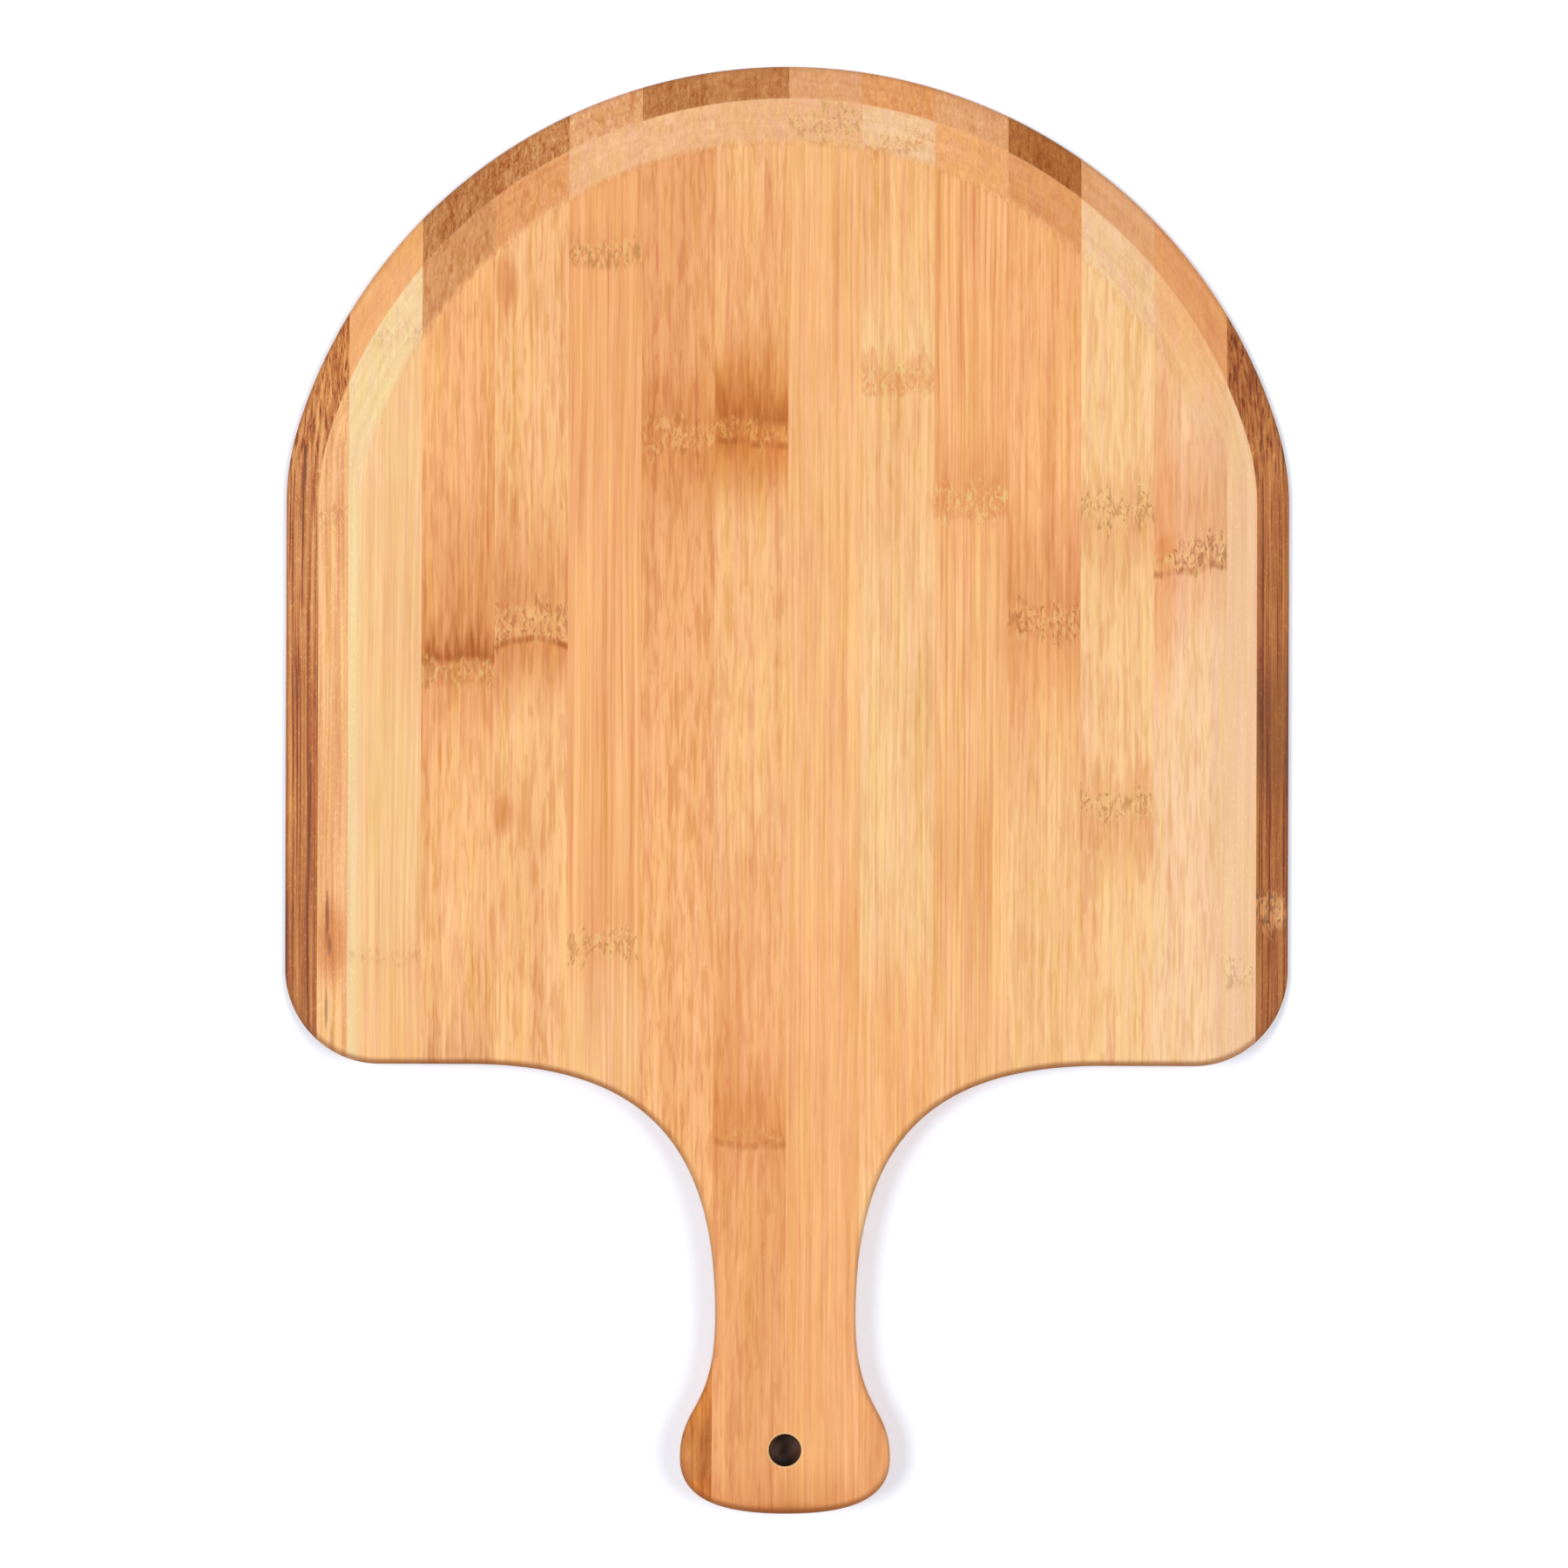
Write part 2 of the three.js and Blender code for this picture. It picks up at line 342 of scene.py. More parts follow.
def spineGrid(insets):
    # a middle strip: columns keep their share of the width between the hole's circle and the handle's edge
    share = (1 - np.cos(np.linspace(0, math.pi, grids["fineColumns"]))) / 2
    x = share * stripWidth
    back = endAt(x) + edgeSteps[:, None] * slantOf(endAt, x)
    front = np.array([frontAt(x, inset) for inset in insets])
    radius, ring = hole["radius"], np.array(grids["holeRows"])
    level = np.concatenate([  # 1 to 3 mm are left between the sets of rows
        np.arange(back[-1, 0] + 1, holeY - radius - 2, grids["knobStep"]),
        holeY - radius - ring,
        holeY - radius * np.cos(np.linspace(0, math.pi, grids["holeTurns"])),
        holeY + radius + ring[::-1],
        np.arange(holeY + radius + 3, front[0, 0] - 1, grids["rowStep"]),
    ])
    way = (level - back[-1, 0]) / (front[0, 0] - back[-1, 0])
    y = np.concatenate([back, back[-1] + way[:, None] * (front[0] - back[-1]), front])
    onHandle = (y > knobY) & (y < shoulderY)
    outer = np.where(onHandle, np.minimum(stripWidth, halfWidth(y)), stripWidth)
    notch = np.sqrt(np.clip(radius ** 2 - (y - holeY) ** 2, 0, None))
    return notch + share * (outer - notch), y


def stripGrid(order, layer):
    # order counts the strips from the middle of the board outwards
    fromX, toX = order * stripWidth, min((order + 1) * stripWidth, sideX)
    insets, edgeInset = (topInsets, featherInset) if layer == "top" else (bottomInsets, 0)
    if order == 0:
        return spineGrid(insets)
    if toX == sideX:
        return lensGrid(fromX, lambda y: np.minimum(sideAt(y, edgeInset), cornerAt(y)), shoulderY, tipY)
    if toX > sideX - section["bevelRun"] and layer == "top":
        return shoulderGrid(fromX, toX, edgeInset)
    return bladeGrid(fromX, toX, insets, bunch=fromX < knobX)


def closedMesh(name, x, y, high, low, **marks):
    # upper grid, the same grid on the lower side with its faces turned over, and a wall round the edge
    rows, columns = x.shape
    count = rows * columns
    points = np.stack([np.stack([x, y, high], -1), np.stack([x, y, low], -1)]).reshape(-1, 3) * mm
    index = np.arange(count).reshape(rows, columns)
    faces = np.stack([index[:-1, :-1], index[:-1, 1:], index[1:, 1:], index[1:, :-1]], -1).reshape(-1, 4)
    loop = np.concatenate([index[0, :-1], index[:-1, -1], index[-1, :0:-1], index[:0:-1, 0]])
    after = np.roll(loop, -1)
    walls = np.stack([loop + count, after + count, after, loop], -1)
    quads = np.concatenate([faces, faces[:, ::-1] + count, walls])
    mesh = bpy.data.meshes.new(name)
    mesh.vertices.add(len(points))
    mesh.vertices.foreach_set("co", points.ravel())
    mesh.loops.add(quads.size)
    mesh.loops.foreach_set("vertex_index", quads.ravel())
    mesh.polygons.add(len(quads))
    mesh.polygons.foreach_set("loop_start", np.arange(0, quads.size, 4))
    mesh.polygons.foreach_set("use_smooth", np.ones(len(quads), bool))
    mesh.update(calc_edges=True)
    mesh.set_sharp_from_angle(angle=math.radians(grids["sharpAngle"]))
    for mark, values in marks.items():
        mesh.attributes.new(mark, "FLOAT", "POINT").data.foreach_set("value", np.tile(values.ravel(), 2))
    return mesh


def addPiece(node, layer, grid, mirrored, material):
    x, y = grid
    if mirrored:
        x, y = -x[:, ::-1], y[:, ::-1]
    rim, heel = rimDistance(x, y)
    top = topHeight(x, y, rim)
    if layer == "top":
        high, low = np.maximum(top, glueZ + section["featherEdge"] / 2), np.full(x.shape, glueZ)
    else:
        high, low = np.minimum(top, glueZ), bottomHeight(x, y, rim)
    piece = bpy.data.objects.new(node + "_bamboo", closedMesh(node, x, y, high, low, rim=rim, heel=heel))
    bpy.context.scene.collection.objects.link(piece)
    piece.data.materials.append(material)
    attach(piece, "root")
    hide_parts(node)
    return piece


# Small helpers for shader trees. A socket given as a value is linked, anything else is set.

def wire(tree, socket, value):
    if isinstance(value, bpy.types.NodeSocket):
        tree.links.new(value, socket)
    else:
        socket.default_value = value


def calc(tree, operation, *values):
    node = tree.nodes.new("ShaderNodeMath")
    node.operation = operation
    for socket, value in zip(node.inputs, values):
        wire(tree, socket, value)
    return node.outputs[0]


def total(tree, *values):
    result = values[0]
    for value in values[1:]:
        result = calc(tree, "ADD", result, value)
    return result


def vector(tree, operation, *values):
    node = tree.nodes.new("ShaderNodeVectorMath")
    node.operation = operation
    for socket, value in zip(node.inputs, values):
        wire(tree, socket, value)
    return node.outputs[0]


def lengthOf(tree, way):
    node = tree.nodes.new("ShaderNodeVectorMath")
    node.operation = "LENGTH"
    wire(tree, node.inputs[0], way)
    return node.outputs["Value"]


def axes(tree, value, *names):
    node = tree.nodes.new("ShaderNodeSeparateXYZ")
    wire(tree, node.inputs[0], value)
    return tuple(node.outputs[name] for name in names)


def fade(tree, value, start, stop, low=0.0, high=1.0):
    # smooth step from low to high as the value goes from start to stop
    node = tree.nodes.new("ShaderNodeMapRange")
    node.interpolation_type = "SMOOTHSTEP"
    for socket, setting in zip(node.inputs, (value, start, stop, low, high)):
        wire(tree, socket, setting)
    return node.outputs[0]


def noise(tree, place, grain, detail=2.0, distortion=0.0):
    # noise whose grains measure this many millimetres along x, y and z, centred on nought
    node = tree.nodes.new("ShaderNodeTexNoise")
    wire(tree, node.inputs["Vector"], vector(tree, "DIVIDE", place, grain))
    node.inputs["Scale"].default_value = 1.0
    node.inputs["Detail"].default_value = detail
    node.inputs["Distortion"].default_value = distortion
    return calc(tree, "MULTIPLY_ADD", node.outputs["Fac"], 2.0, -1.0)


def tint(tree, factor, below, above, mode="MIX"):
    node = tree.nodes.new("ShaderNodeMix")
    node.data_type, node.blend_type = "RGBA", mode
    wire(tree, node.inputs[0], factor)
    wire(tree, node.inputs[6], below)
    wire(tree, node.inputs[7], above)
    return node.outputs[2]


def attribute(tree, name):
    node = tree.nodes.new("ShaderNodeAttribute")
    node.attribute_name = name
    return node.outputs["Fac"]


def group(tree, inner, **values):
    node = tree.nodes.new("ShaderNodeGroup")
    node.node_tree = inner
    for name, value in values.items():
        wire(tree, node.inputs[name], value)
    return node.outputs


def newGroup(name, inputs, outputs):
    tree = bpy.data.node_groups.new(name, "ShaderNodeTree")
    kinds = {"place": "NodeSocketVector"}
    for socket in inputs:
        tree.interface.new_socket(socket, in_out="INPUT", socket_type=kinds.get(socket, "NodeSocketFloat"))
    for socket in outputs:
        tree.interface.new_socket(socket, in_out="OUTPUT", socket_type="NodeSocketFloat")
    return tree, tree.nodes.new("NodeGroupInput").outputs, tree.nodes.new("NodeGroupOutput").inputs


tones = {  # bamboo from raw to toasted
    "cream": "#f8d49e", "oat": "#f0c87f", "blush": "#f9c799", "straw": "#f8c48b", "flax": "#f6be84",
    "sand": "#f4b988", "honey": "#f6b87c", "peach": "#f4af72", "apricot": "#f0a56a", "clay": "#e7a674",
    "amber": "#e89e64", "toast": "#e09155", "ember": "#d98238", "rust": "#d6935c", "copper": "#c97f40",
    "chestnut": "#be7b46", "walnut": "#ac652e", "scorch": "#b05c1a", "bark": "#964f18", "olive": "#a87836",
    # the last tone is not bamboo: near black for the painted shade on the hole's wall
    "umber": "#704424", "shadeBlack": "#1c120c",
}


def toneLight(name):
    # the light that a screen gives off for the tone's code
    code = tones[name]
    part = np.array([int(code[i:i + 2], 16) for i in (1, 3, 5)]) / 255
    light = np.where(part <= 0.04045, part / 12.92, ((part + 0.055) / 1.055) ** 2.4)
    return (*light.tolist(), 1.0)


grainLook = {  # sizes of the marks in millimetres, across, along and down
    "sway": (14.0, 110.0, 14.0),
    "streak": (3.0, 140.0, 3.0),
    "line": (0.9, 85.0, 0.9),
    "vein": (0.55, 75.0, 0.55),
    "fibre": (0.36, 12.0, 0.36),
    "fleck": (1.25, 12.0, 1.25),
    "hue": (2.2, 55.0, 2.2),
    "bundle": (0.9, 60.0, 0.9),
    "layer": (25.0, 60.0, 0.6),
    "speck": (0.8, 1.4, 0.8),
    "swayReach": (1.4, 0.0, 0.7),
    "hueRange": (4.2, 0.4),  # spread of the hue, and its lean to yellow
    "fibreShare": 0.9,
    "layerShare": 1.3,
    "speckShare": 1.1,
    "veinCut": (0.1, 0.38),  # from and to this noise, and for the next three the tone at both ends
    "speckCut": (0.12, 0.42, -0.15, 1.0),
    "fleckCut": (-0.16, 0.3, 0.8, -1.2),
    "vesselCut": (0.34, 0.12, 0.2, -1.3),
    "poreDepth": 0.5,
    "shares": {"streaks": 2.0, "lines": 3.2, "veins": -1.5, "flecks": 1.0, "vessels": 1.0},
}


def makeGrain():
    # tone: short fibres, long streaks and lines, thin dark veins, dark flecks and cut vessels, each times
    # its share, summed, at a place that sways a little from side to side along the strip
    # hue: patches that lean to yellow above nought and to pink below it
    # layers and specks: what a slanting cut shows of the strip's inside
    shares = grainLook["shares"]
    tree, given, out = newGroup(
        "bambooGrain", ["place", *shares], ["tone", "hue", "relief", "pores", "layers", "specks"])
    sway = noise(tree, given["place"], grainLook["sway"], 1.0)
    place = vector(tree, "MULTIPLY_ADD", sway, grainLook["swayReach"], given["place"])
    line = noise(tree, place, grainLook["line"])
    fibre = noise(tree, place, grainLook["fibre"], 1.0)
    cell = tree.nodes.new("ShaderNodeTexVoronoi")
    wire(tree, cell.inputs["Vector"], vector(tree, "DIVIDE", place, grainLook["bundle"]))
    cell.inputs["Scale"].default_value = 1.0
    vessel = fade(tree, cell.outputs["Distance"], *grainLook["vesselCut"])
    vein = noise(tree, place, grainLook["vein"], 1.0)
    fleck = noise(tree, place, grainLook["fleck"], 2.0, 0.6)
    marks = {
        "streaks": noise(tree, place, grainLook["streak"]),
        "lines": line,
        "veins": fade(tree, vein, *grainLook["veinCut"]),
        "flecks": fade(tree, fleck, *grainLook["fleckCut"]),
        "vessels": vessel,
    }
    tone = calc(tree, "MULTIPLY", fibre, grainLook["fibreShare"])
    for kind, share in shares.items():
        weight = calc(tree, "MULTIPLY", given[kind], share)
        tone = calc(tree, "MULTIPLY_ADD", marks[kind], weight, tone)
    wire(tree, out["tone"], tone)
    hue = noise(tree, place, grainLook["hue"])
    wire(tree, out["hue"], calc(tree, "MULTIPLY_ADD", hue, *grainLook["hueRange"]))
    pores = calc(tree, "MULTIPLY", vessel, grainLook["poreDepth"])
    wire(tree, out["relief"], total(tree, line, fibre, pores))
    wire(tree, out["pores"], vessel)
    layer = noise(tree, place, grainLook["layer"])
    wire(tree, out["layers"], calc(tree, "MULTIPLY", layer, grainLook["layerShare"]))
    speck = fade(tree, noise(tree, place, grainLook["speck"], 1.0), *grainLook["speckCut"])
    wire(tree, out["specks"], calc(tree, "MULTIPLY", speck, grainLook["speckShare"]))
    return tree


knuckleLook = {  # sizes of the marks as above, then lengths along the strip
    "stroke": (1.3, 4.2, 1.3),
    "dot": (1.0, 2.0, 1.0),
    "flame": (1.5, 16.0, 1.5),
    "wave": (16.0, 300.0, 16.0),
    "ragged": (2.4, 300.0, 2.4),
    "waveReach": 6.0,
    "flameReach": 16.0,
    "blushReach": 28.0,
    "bandBlur": 1.2,
    "lineBlur": (1.8, 0.2),
    "strokeEdge": 0.26,  # how sharp the strokes are, as a step of their noise
    "dotEdge": (0.2, 0.34),
    "strokeInk": 0.8,
    "lineBreaks": (-0.2, 0.2, 0.3, 0.9),  # from and to this noise, and the shares that are left there
    "raggedRange": (-0.4, 0.4, 0.3, 1.5),
    "scorchStart": (-2.5, 1.0),
    "scorchFull": -6.0,  # where the flames of the scorched and the warm stretch are at full strength
    "warmFull": 2.0,
    "warmStart": 1.0,
}
plainKnuckle = {  # lengths in millimetres, and shares of each mark
    "height": 8.0, "strokes": 0.6, "line": 0.1, "scorch": 0.0, "scorchReach": 14.0,
    "warm": 0.0, "warmReach": 20.0, "blush": 0.0,
}


def knuckleAt(middle, **changes):
    return {**plainKnuckle, "middle": middle, **changes}


def makeKnuckle():
    # band across the strip where the cane had a joint, at a distance y minus middle along it: strokes in
    # the band, a line behind it, a scorched and a long warm stretch in front and a blushing one behind
    tree, given, out = newGroup(
        "bambooKnuckle", ["y", "stroke", "dot", "flame", "ragged", "middle", *plainKnuckle],
        ["inked", "lined", "burnt", "pale", "warmth"])
    along = calc(tree, "SUBTRACT", given["y"], given["middle"])
    half = calc(tree, "MULTIPLY", given["height"], 0.5)
    ahead = calc(tree, "SUBTRACT", along, half)
    behind = calc(tree, "ADD", along, half)
    reach = calc(tree, "MULTIPLY", half, given["ragged"])
    edge = calc(tree, "SUBTRACT", calc(tree, "ABSOLUTE", along), reach)
    blur = knuckleLook["bandBlur"]
    band = calc(tree, "MULTIPLY", fade(tree, edge, blur, -blur), given["strokes"])
    sharp = knuckleLook["strokeEdge"]
    dark = fade(tree, given["stroke"], 0.0, -sharp, 0.0, knuckleLook["strokeInk"])
    dark = calc(tree, "MAXIMUM", dark, fade(tree, given["dot"], *knuckleLook["dotEdge"]))
    wire(tree, out["inked"], calc(tree, "MULTIPLY", dark, band))
    wire(tree, out["pale"], calc(tree, "MULTIPLY", fade(tree, given["stroke"], 0.0, sharp), band))

    rule = fade(tree, calc(tree, "ABSOLUTE", behind), *knuckleLook["lineBlur"])
    rule = calc(tree, "MULTIPLY", rule, given["line"])
    broken = fade(tree, given["flame"], *knuckleLook["lineBreaks"])
    wire(tree, out["lined"], calc(tree, "MULTIPLY", rule, broken))

    flame = calc(tree, "MULTIPLY_ADD", given["flame"], -knuckleLook["flameReach"], ahead)
    burn = fade(tree, flame, given["scorchReach"], knuckleLook["scorchFull"])
    burn = calc(tree, "MULTIPLY", burn, given["scorch"])
    started = fade(tree, ahead, *knuckleLook["scorchStart"])
    wire(tree, out["burnt"], calc(tree, "MULTIPLY", burn, started))
    start = knuckleLook["warmStart"]
    near = fade(tree, flame, given["warmReach"], knuckleLook["warmFull"])
    near = calc(tree, "MULTIPLY", near, given["warm"])
    near = calc(tree, "MULTIPLY", near, fade(tree, behind, -start, start))
    after = calc(tree, "MULTIPLY", fade(tree, behind, -knuckleLook["blushReach"], 0.0), given["blush"])
    after = calc(tree, "MULTIPLY", after, fade(tree, behind, start, -start))
    wire(tree, out["warmth"], calc(tree, "ADD", near, after))
    return tree


grainGroup = makeGrain()
knuckleGroup = makeKnuckle()
print("shader groups made")

finish = {
    "seedStep": (37.0, 211.0, 53.0),  # millimetres from one strip's place in the grain to the next one's
    "cloud": (9.0, 45.0, 9.0),  # size of the cloudy patches in millimetres
    "cloudDrift": 30.0,  # millimetres that they move the change from back tone to front tone
    "cloudShare": 1.2,
    "spotEdge": (1.0, 0.3),  # from and to this share of a spot's half size
    "coreDepth": (0.1, 1.2),  # millimetres below the face where the core's tone takes over
    "tintReach": (0.07, 0.13, 0.19),  # how far one unit of tone moves red, green and blue
    "hueReach": (0.0, 0.022, -0.048),
    "darkest": (0.3, 0.22, 0.15),  # least share of the body colour
    "endFacing": (0.5, 1.0),  # from and to this share of the face that looks along the strip
    "endGrain": 1.0,
    "paleShare": 0.55,
    "inkShare": 0.65,
    "upward": (0.05, 0.5, 0.3, 1.0),  # a face that looks up takes more of the painted edge shade and wear than a wall
    "rimWearAndShade": (1.8, 0.0, 0.0, 0.26),  # painted shade and wear on the rim: from and to this far in from the outline, and how much
    "backEdgeShade": (2.4, 0.7, 0.0, 0.7),  # the same for painted shade along the edges that face back, where the lamps light them less
    "glueLine": (0.1, 0.0, 0.0, 0.25),  # the same above and below the glue
    "holeRingHighlight": (0.9, 0.4, 0.0, 0.5),  # the same for a painted highlight out from the hole's wall
    # painted shade that takes the hole's wall near black
    "holeWallShade": (0.3, 0.02, 0.0, 0.94),
    "roughness": (0.42, 0.62),
    "specular": 0.25,
    "bump": 0.12,
    "bumpHeight": 0.06 * mm,
    "inkDepth": -0.35,
}


def addKnuckles(tree, place, y, knuckles):
    # strongest of the strip's knuckles at each place, as shares of each kind of mark
    wave = noise(tree, place, knuckleLook["wave"])
    ragged = noise(tree, place, knuckleLook["ragged"], 1.0)
    marks = {
        "y": calc(tree, "MULTIPLY_ADD", wave, knuckleLook["waveReach"], y),
        "stroke": noise(tree, place, knuckleLook["stroke"], 2.0, 1.0),
        "dot": noise(tree, place, knuckleLook["dot"], 1.0),
        "flame": noise(tree, place, knuckleLook["flame"]),
        "ragged": fade(tree, ragged, *knuckleLook["raggedRange"]),
    }
    shares = {"inked": 0.0, "lined": 0.0, "burnt": 0.0, "pale": 0.0, "warmth": 0.0}
    for knuckle in knuckles:
        mark = group(tree, knuckleGroup, **marks, **knuckle)
        shares = {kind: calc(tree, "MAXIMUM", mark[kind], share) for kind, share in shares.items()}
    return shares


def bodyColour(tree, place, y, cloud, inside, marks, look):
    # back tone to front tone along the strip, the core's tone below the face, stained near a knuckle
    # and in spots: soft ovals, by the distance from each middle in halves of its width and length
    turn = calc(tree, "MULTIPLY_ADD", cloud, finish["cloudDrift"], calc(tree, "SUBTRACT", y, look["turn"]))
    body = tint(tree, fade(tree, turn, -look["spread"], look["spread"]),
                toneLight(look["back"]), toneLight(look["front"]))
    body = tint(tree, inside, body, toneLight(look["core"]))
    body = tint(tree, marks["warmth"], body, toneLight(look["stain"]))
    for middleX, middleY, width, long, share, tone in look["spots"]:
        way = vector(tree, "SUBTRACT", place, (middleX, middleY, 0.0))
        away = lengthOf(tree, vector(tree, "MULTIPLY", way, (2 / width, 2 / long, 0.0)))
        body = tint(tree, fade(tree, away, *finish["spotEdge"], 0.0, share), body, toneLight(tone))
    return body


def fibreColour(tree, body, grain, cloud, inside, normalY, look):
    # body colour times one plus the tone and the hue of the fibres, each times its reach
    # inside the strip the tone has specks and layers and is calmer or wilder, and end grain is darker
    endOn = fade(tree, calc(tree, "ABSOLUTE", normalY), *finish["endFacing"])
    ends = calc(tree, "MULTIPLY", endOn, calc(tree, "SUBTRACT", grain["pores"], finish["endGrain"]))
    stir = fade(tree, inside, 0.0, 1.0, 1.0, look["inner"])
    fibres = calc(tree, "MULTIPLY_ADD", grain["specks"], inside, grain["tone"])
    fibres = calc(tree, "MULTIPLY_ADD", cloud, finish["cloudShare"], fibres)
    fibres = calc(tree, "MULTIPLY_ADD", fibres, stir, ends)
    fibres = calc(tree, "MULTIPLY_ADD", grain["layers"], inside, fibres)
    reach = vector(tree, "MULTIPLY_ADD", fibres, finish["tintReach"], (1.0, 1.0, 1.0))
    hue = calc(tree, "MULTIPLY", grain["hue"], look["hues"])
    reach = vector(tree, "MULTIPLY_ADD", hue, finish["hueReach"], reach)
    return tint(tree, 1.0, body, vector(tree, "MAXIMUM", reach, finish["darkest"]), "MULTIPLY")


def markKnuckles(tree, colour, marks, look):
    pale = calc(tree, "MULTIPLY", marks["pale"], finish["paleShare"])
    inked = calc(tree, "MULTIPLY", marks["inked"], finish["inkShare"])
    colour = tint(tree, marks["burnt"], colour, toneLight("scorch"))
    colour = tint(tree, pale, colour, toneLight(look["pale"]))
    colour = tint(tree, inked, colour, toneLight(look["ink"]))
    return tint(tree, marks["lined"], colour, toneLight("scorch"))


def shadeAndWearEdges(tree, colour, z, normalZ):
    # painted shade and wear on the rim, with more painted shade where it faces back, and the glue line
    # between the layers
    upward = fade(tree, normalZ, *finish["upward"])
    rim = attribute(tree, "rim")
    # painted shade along the rim where it faces back
    heel = calc(tree, "MULTIPLY", fade(tree, rim, *finish["backEdgeShade"]), attribute(tree, "heel"))
    colour = tint(tree, calc(tree, "MULTIPLY", heel, upward), colour, toneLight("bark"))
    # painted shade and wear along the whole rim
    wornAndShaded = calc(tree, "MULTIPLY", fade(tree, rim, *finish["rimWearAndShade"]), upward)
    colour = tint(tree, wornAndShaded, colour, toneLight("umber"))
    fromGlue = calc(tree, "ABSOLUTE", calc(tree, "SUBTRACT", z, glueZ))
    return tint(tree, fade(tree, fromGlue, *finish["glueLine"]), colour, toneLight("straw"))


def paintHoleHighlightAndShade(tree, colour, place):
    # rings round the hole's axis: a painted highlight where its rim was eased, and painted shade that takes
    # the wall near black
    way = vector(tree, "SUBTRACT", place, (0.0, holeY, 0.0))
    away = lengthOf(tree, vector(tree, "MULTIPLY", way, (1.0, 1.0, 0.0)))
    fromWall = calc(tree, "SUBTRACT", away, hole["radius"])
    colour = tint(tree, fade(tree, fromWall, *finish["holeRingHighlight"]), colour, toneLight("cream"))
    return tint(tree, fade(tree, fromWall, *finish["holeWallShade"]), colour, toneLight("shadeBlack"))


def bambooMaterial(name, look, layer, seed, holeWall):
    material = bpy.data.materials.new(name)
    material.use_nodes = True
    tree = material.node_tree
    tree.nodes.clear()
    space = tree.nodes.new("ShaderNodeTexCoord").outputs["Object"]
    place = vector(tree, "DIVIDE", space, (mm, mm, mm))
    y, z = axes(tree, place, "Y", "Z")
    normalY, normalZ = axes(tree, tree.nodes.new("ShaderNodeNewGeometry").outputs["Normal"], "Y", "Z")
    shifted = vector(tree, "ADD", place, tuple(seed * step for step in finish["seedStep"]))
    depth = calc(tree, "SUBTRACT", thick, z) if layer == "top" else z
    inside = fade(tree, depth, *finish["coreDepth"])
    cloud = noise(tree, shifted, finish["cloud"])
    grain = group(tree, grainGroup, place=shifted, **{kind: look[kind] for kind in grainLook["shares"]})
    marks = addKnuckles(tree, shifted, y, look["knuckles"])

    colour = bodyColour(tree, place, y, cloud, inside, marks, look)
    colour = fibreColour(tree, colour, grain, cloud, inside, normalY, look)
    colour = markKnuckles(tree, colour, marks, look)
    # painted shade and wear on the rim
    colour = shadeAndWearEdges(tree, colour, z, normalZ)
    # the strip beside the hole gets a painted highlight on its eased rim and painted shade on its wall
    if holeWall:
        colour = paintHoleHighlightAndShade(tree, colour, place)

    shader = tree.nodes.new("ShaderNodeBsdfPrincipled")
    wire(tree, shader.inputs["Base Color"], colour)
    wire(tree, shader.inputs["Roughness"], fade(tree, grain["relief"], -1.0, 1.0, *finish["roughness"]))
    shader.inputs["Specular IOR Level"].default_value = finish["specular"]
    bump = tree.nodes.new("ShaderNodeBump")
    bump.inputs["Strength"].default_value = finish["bump"]
    bump.inputs["Distance"].default_value = finish["bumpHeight"]
    relief = calc(tree, "MULTIPLY_ADD", marks["inked"], finish["inkDepth"], grain["relief"])
    wire(tree, bump.inputs["Height"], relief)
    wire(tree, shader.inputs["Normal"], bump.outputs["Normal"])
    wire(tree, tree.nodes.new("ShaderNodeOutputMaterial").inputs["Surface"], shader.outputs[0])
    return material


plainStrip = {
    "turn": 40.0,  # where along the strip the back tone gives way to the front tone, in millimetres
    "spread": 45.0,
    "streaks": 0.8, "lines": 0.9, "veins": 0.3, "flecks": 0.3, "vessels": 0.3,  # how strong the grain is
    "hues": 1.0,
    "inner": 0.5,  # strength of the grain below the face
    "stain": "toast", "ink": "scorch", "pale": "oat",  # tones at a knuckle
    "spots": (),  # each one's middle x and y, width, length, share and tone
    "knuckles": (),
}


def strip(front, back=None, core=None, **changes):
    return {**plainStrip, "front": front, "back": back or front, "core": core or front, **changes}


